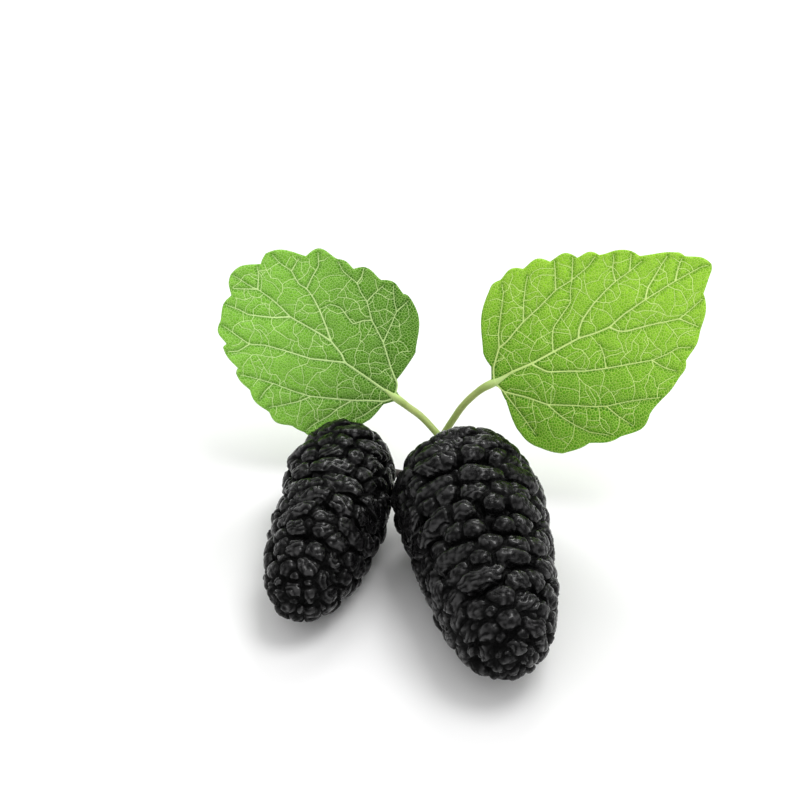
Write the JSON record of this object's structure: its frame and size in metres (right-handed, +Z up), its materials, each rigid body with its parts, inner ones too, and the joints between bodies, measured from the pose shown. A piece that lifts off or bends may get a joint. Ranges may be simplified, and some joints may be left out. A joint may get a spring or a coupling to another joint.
{
  "type": "mulberry sprig",
  "caption": "Mulberry sprig as picked: ripe dark berries of fused drupelets and toothed, veined leaves on a short green shoot, lying on its berries.",
  "frame": {"origin": "on the surface the sprig lies on, in the flat spot of a drupelet under the middle of the larger berry", "axes": "+Z up from the surface, -Y towards the free tips of the berries, +X towards the pointed leaf"},
  "size_m": [0.0475, 0.0409, 0.0273],
  "materials": {
    "berry_skin": "near-black juicy skin with a soft gloss",
    "deep_leaf": "mid-green leaf with paler veins, soft sheen",
    "bright_leaf": "yellow-green leaf with paler veins, soft sheen",
    "green_shoot": "pale green young stalk, satin"
  },
  "bodies": {
    "root": {"berry_large": "berry_skin", "berry_small": "berry_skin", "leaf_left": "deep_leaf", "leaf_right": "bright_leaf", "shoot": "green_shoot"}
  },
  "joints": []
}
